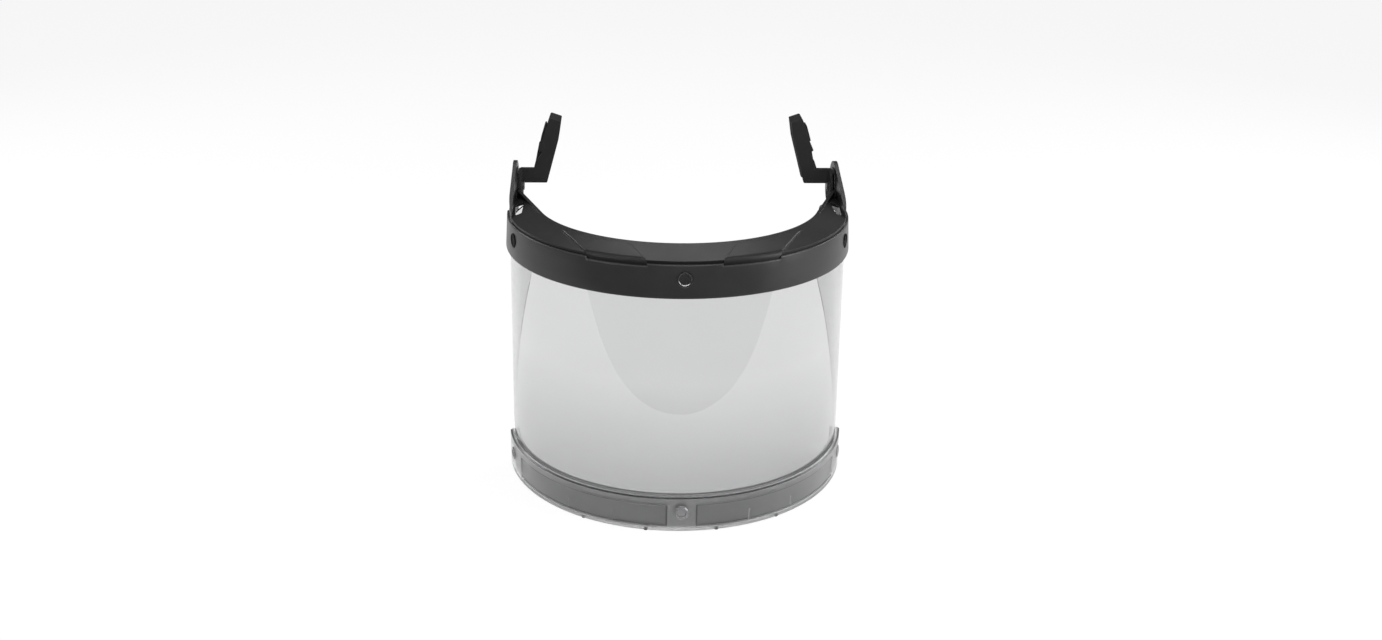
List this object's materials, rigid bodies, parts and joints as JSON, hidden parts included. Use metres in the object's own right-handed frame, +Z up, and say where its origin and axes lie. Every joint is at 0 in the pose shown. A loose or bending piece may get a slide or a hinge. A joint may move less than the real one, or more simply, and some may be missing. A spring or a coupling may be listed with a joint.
{
  "type": "helmet face shield",
  "caption": "Flip-up face shield for a slotted safety helmet: clear curved lens in a black brow carrier with side arms, cranked slot adapters and a smoke chin guard.",
  "frame": {"origin": "middle of the pivot axis between the two arms, which is also the middle of the pair of helmet adapters", "axes": "+Z up with the visor lowered, -Y the front of the visor, +X to the right seen from the front, along the pivot axis"},
  "size_m": [0.2698, 0.2018, 0.2715],
  "materials": {
    "black_satin": "satin moulded black plastic",
    "black_carrier": "fine-grained moulded black plastic",
    "black_adapter": "matt glass-filled black plastic",
    "black_nylon": "matt black nylon",
    "black_rubber": "matt black rubber",
    "clear_sheet": "polished clear sheet",
    "smoke_guard": "smoke-tinted translucent moulding",
    "smoke_stud": "smoke-tinted translucent moulding",
    "bright_steel": "plated steel",
    "spring_steel": "spring steel"
  },
  "bodies": {
    "helmet_adapters": {"left_adapter": "black_adapter", "right_adapter": "black_adapter", "left_pivot_pin": "bright_steel", "right_pivot_pin": "bright_steel", "left_pivot_nut": "black_nylon", "right_pivot_nut": "black_nylon"},
    "visor": {"outer_band": "black_satin", "brow_carrier": "black_carrier", "lens": "clear_sheet", "chin_guard_outer": "smoke_guard", "chin_guard_inner": "smoke_guard", "chin_feet": "black_rubber", "brow_centre_stud": "black_satin", "brow_side_studs": "black_satin", "brow_stud_nuts": "black_nylon", "chin_centre_stud": "smoke_stud", "chin_side_studs": "smoke_stud", "chin_stud_nuts": "smoke_stud", "left_spring_washer": "spring_steel", "right_spring_washer": "spring_steel", "left_friction_washer": "black_nylon", "right_friction_washer": "black_nylon"},
    "left_latch": {"left_latch_tongue": "black_adapter"},
    "right_latch": {"right_latch_tongue": "black_adapter"}
  },
  "joints": [
    {"name": "visor_tilt", "type": "hinge", "parent": "helmet_adapters", "child": "visor", "pos_m": [0, 0, 0], "axis": [-1, 0, 0], "range_deg": [0, 95]},
    {"name": "left_latch_flex", "type": "hinge", "parent": "helmet_adapters", "child": "left_latch", "pos_m": [-0.1002, 0.0085, 0.0477], "axis": [0, -1, 0], "range_deg": [0, 8], "stiffness_Nm_per_rad": 0.4},
    {"name": "right_latch_flex", "type": "hinge", "parent": "helmet_adapters", "child": "right_latch", "pos_m": [0.1002, 0.0085, 0.0477], "axis": [0, 1, 0], "range_deg": [0, 8], "stiffness_Nm_per_rad": 0.4}
  ]
}
